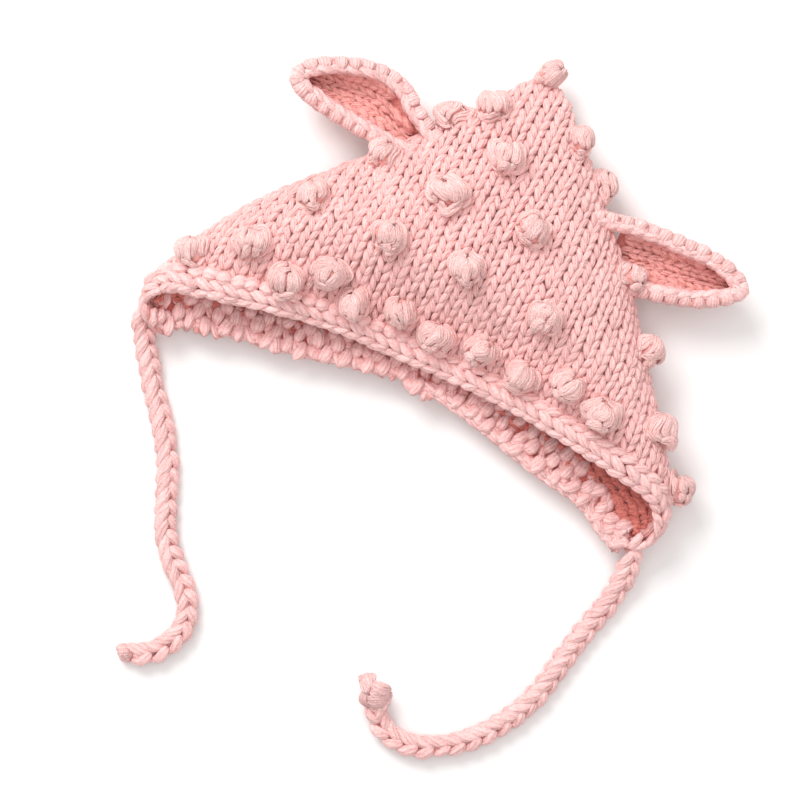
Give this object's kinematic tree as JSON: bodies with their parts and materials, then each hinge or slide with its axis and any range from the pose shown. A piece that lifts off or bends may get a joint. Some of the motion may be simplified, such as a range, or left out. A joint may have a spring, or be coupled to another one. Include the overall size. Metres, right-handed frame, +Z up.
{
  "type": "baby hat with ears",
  "caption": "Baby's knitted pixie bonnet with cupped ears, bobbles all over and long knitted ties, lying on its back.",
  "frame": {"origin": "on the surface that the hat lies on, under the middle of the hat without its cords", "axes": "+X across the hat, from the wearer's one tie corner to the other, +Y from the mouth to the peak, +Z up, out of the front of the lying hat"},
  "size_m": [0.2371, 0.2872, 0.0516],
  "materials": {
    "cloth": "matte knitted cotton",
    "edging": "matte knitted cotton, thicker stitches",
    "bobbles": "matte knitted cotton, plump"
  },
  "bodies": {
    "root": {"crown": "cloth", "face_band": "edging", "neck_band": "edging", "bobble_peak": "bobbles", "bobble_1_1": "bobbles", "bobble_1_2": "bobbles", "bobble_2_1": "bobbles", "bobble_2_2": "bobbles", "bobble_2_3": "bobbles", "bobble_3_1": "bobbles", "bobble_3_2": "bobbles", "bobble_3_3": "bobbles", "bobble_3_4": "bobbles", "bobble_4_1": "bobbles", "bobble_4_2": "bobbles", "bobble_4_3": "bobbles", "bobble_4_4": "bobbles", "bobble_4_5": "bobbles", "bobble_5_1": "bobbles", "bobble_5_2": "bobbles", "bobble_5_3": "bobbles", "bobble_5_4": "bobbles", "bobble_5_5": "bobbles", "bobble_5_6": "bobbles", "bobble_6_1": "bobbles", "bobble_6_2": "bobbles", "bobble_6_3": "bobbles", "bobble_6_4": "bobbles", "bobble_6_5": "bobbles", "bobble_6_6": "bobbles", "bobble_6_7": "bobbles", "back_bobble_1_1": "bobbles", "back_bobble_2_1": "bobbles", "back_bobble_2_2": "bobbles", "back_bobble_3_1": "bobbles", "back_bobble_3_2": "bobbles", "back_bobble_3_3": "bobbles", "back_bobble_4_1": "bobbles", "back_bobble_4_2": "bobbles", "back_bobble_4_3": "bobbles", "back_bobble_4_4": "bobbles", "ear_left": "cloth", "ear_right": "cloth", "ear_rim_left": "edging", "ear_rim_right": "edging", "tie_left": "edging", "tie_left_end": "edging", "tie_right": "edging", "tie_right_end": "edging"}
  },
  "joints": []
}
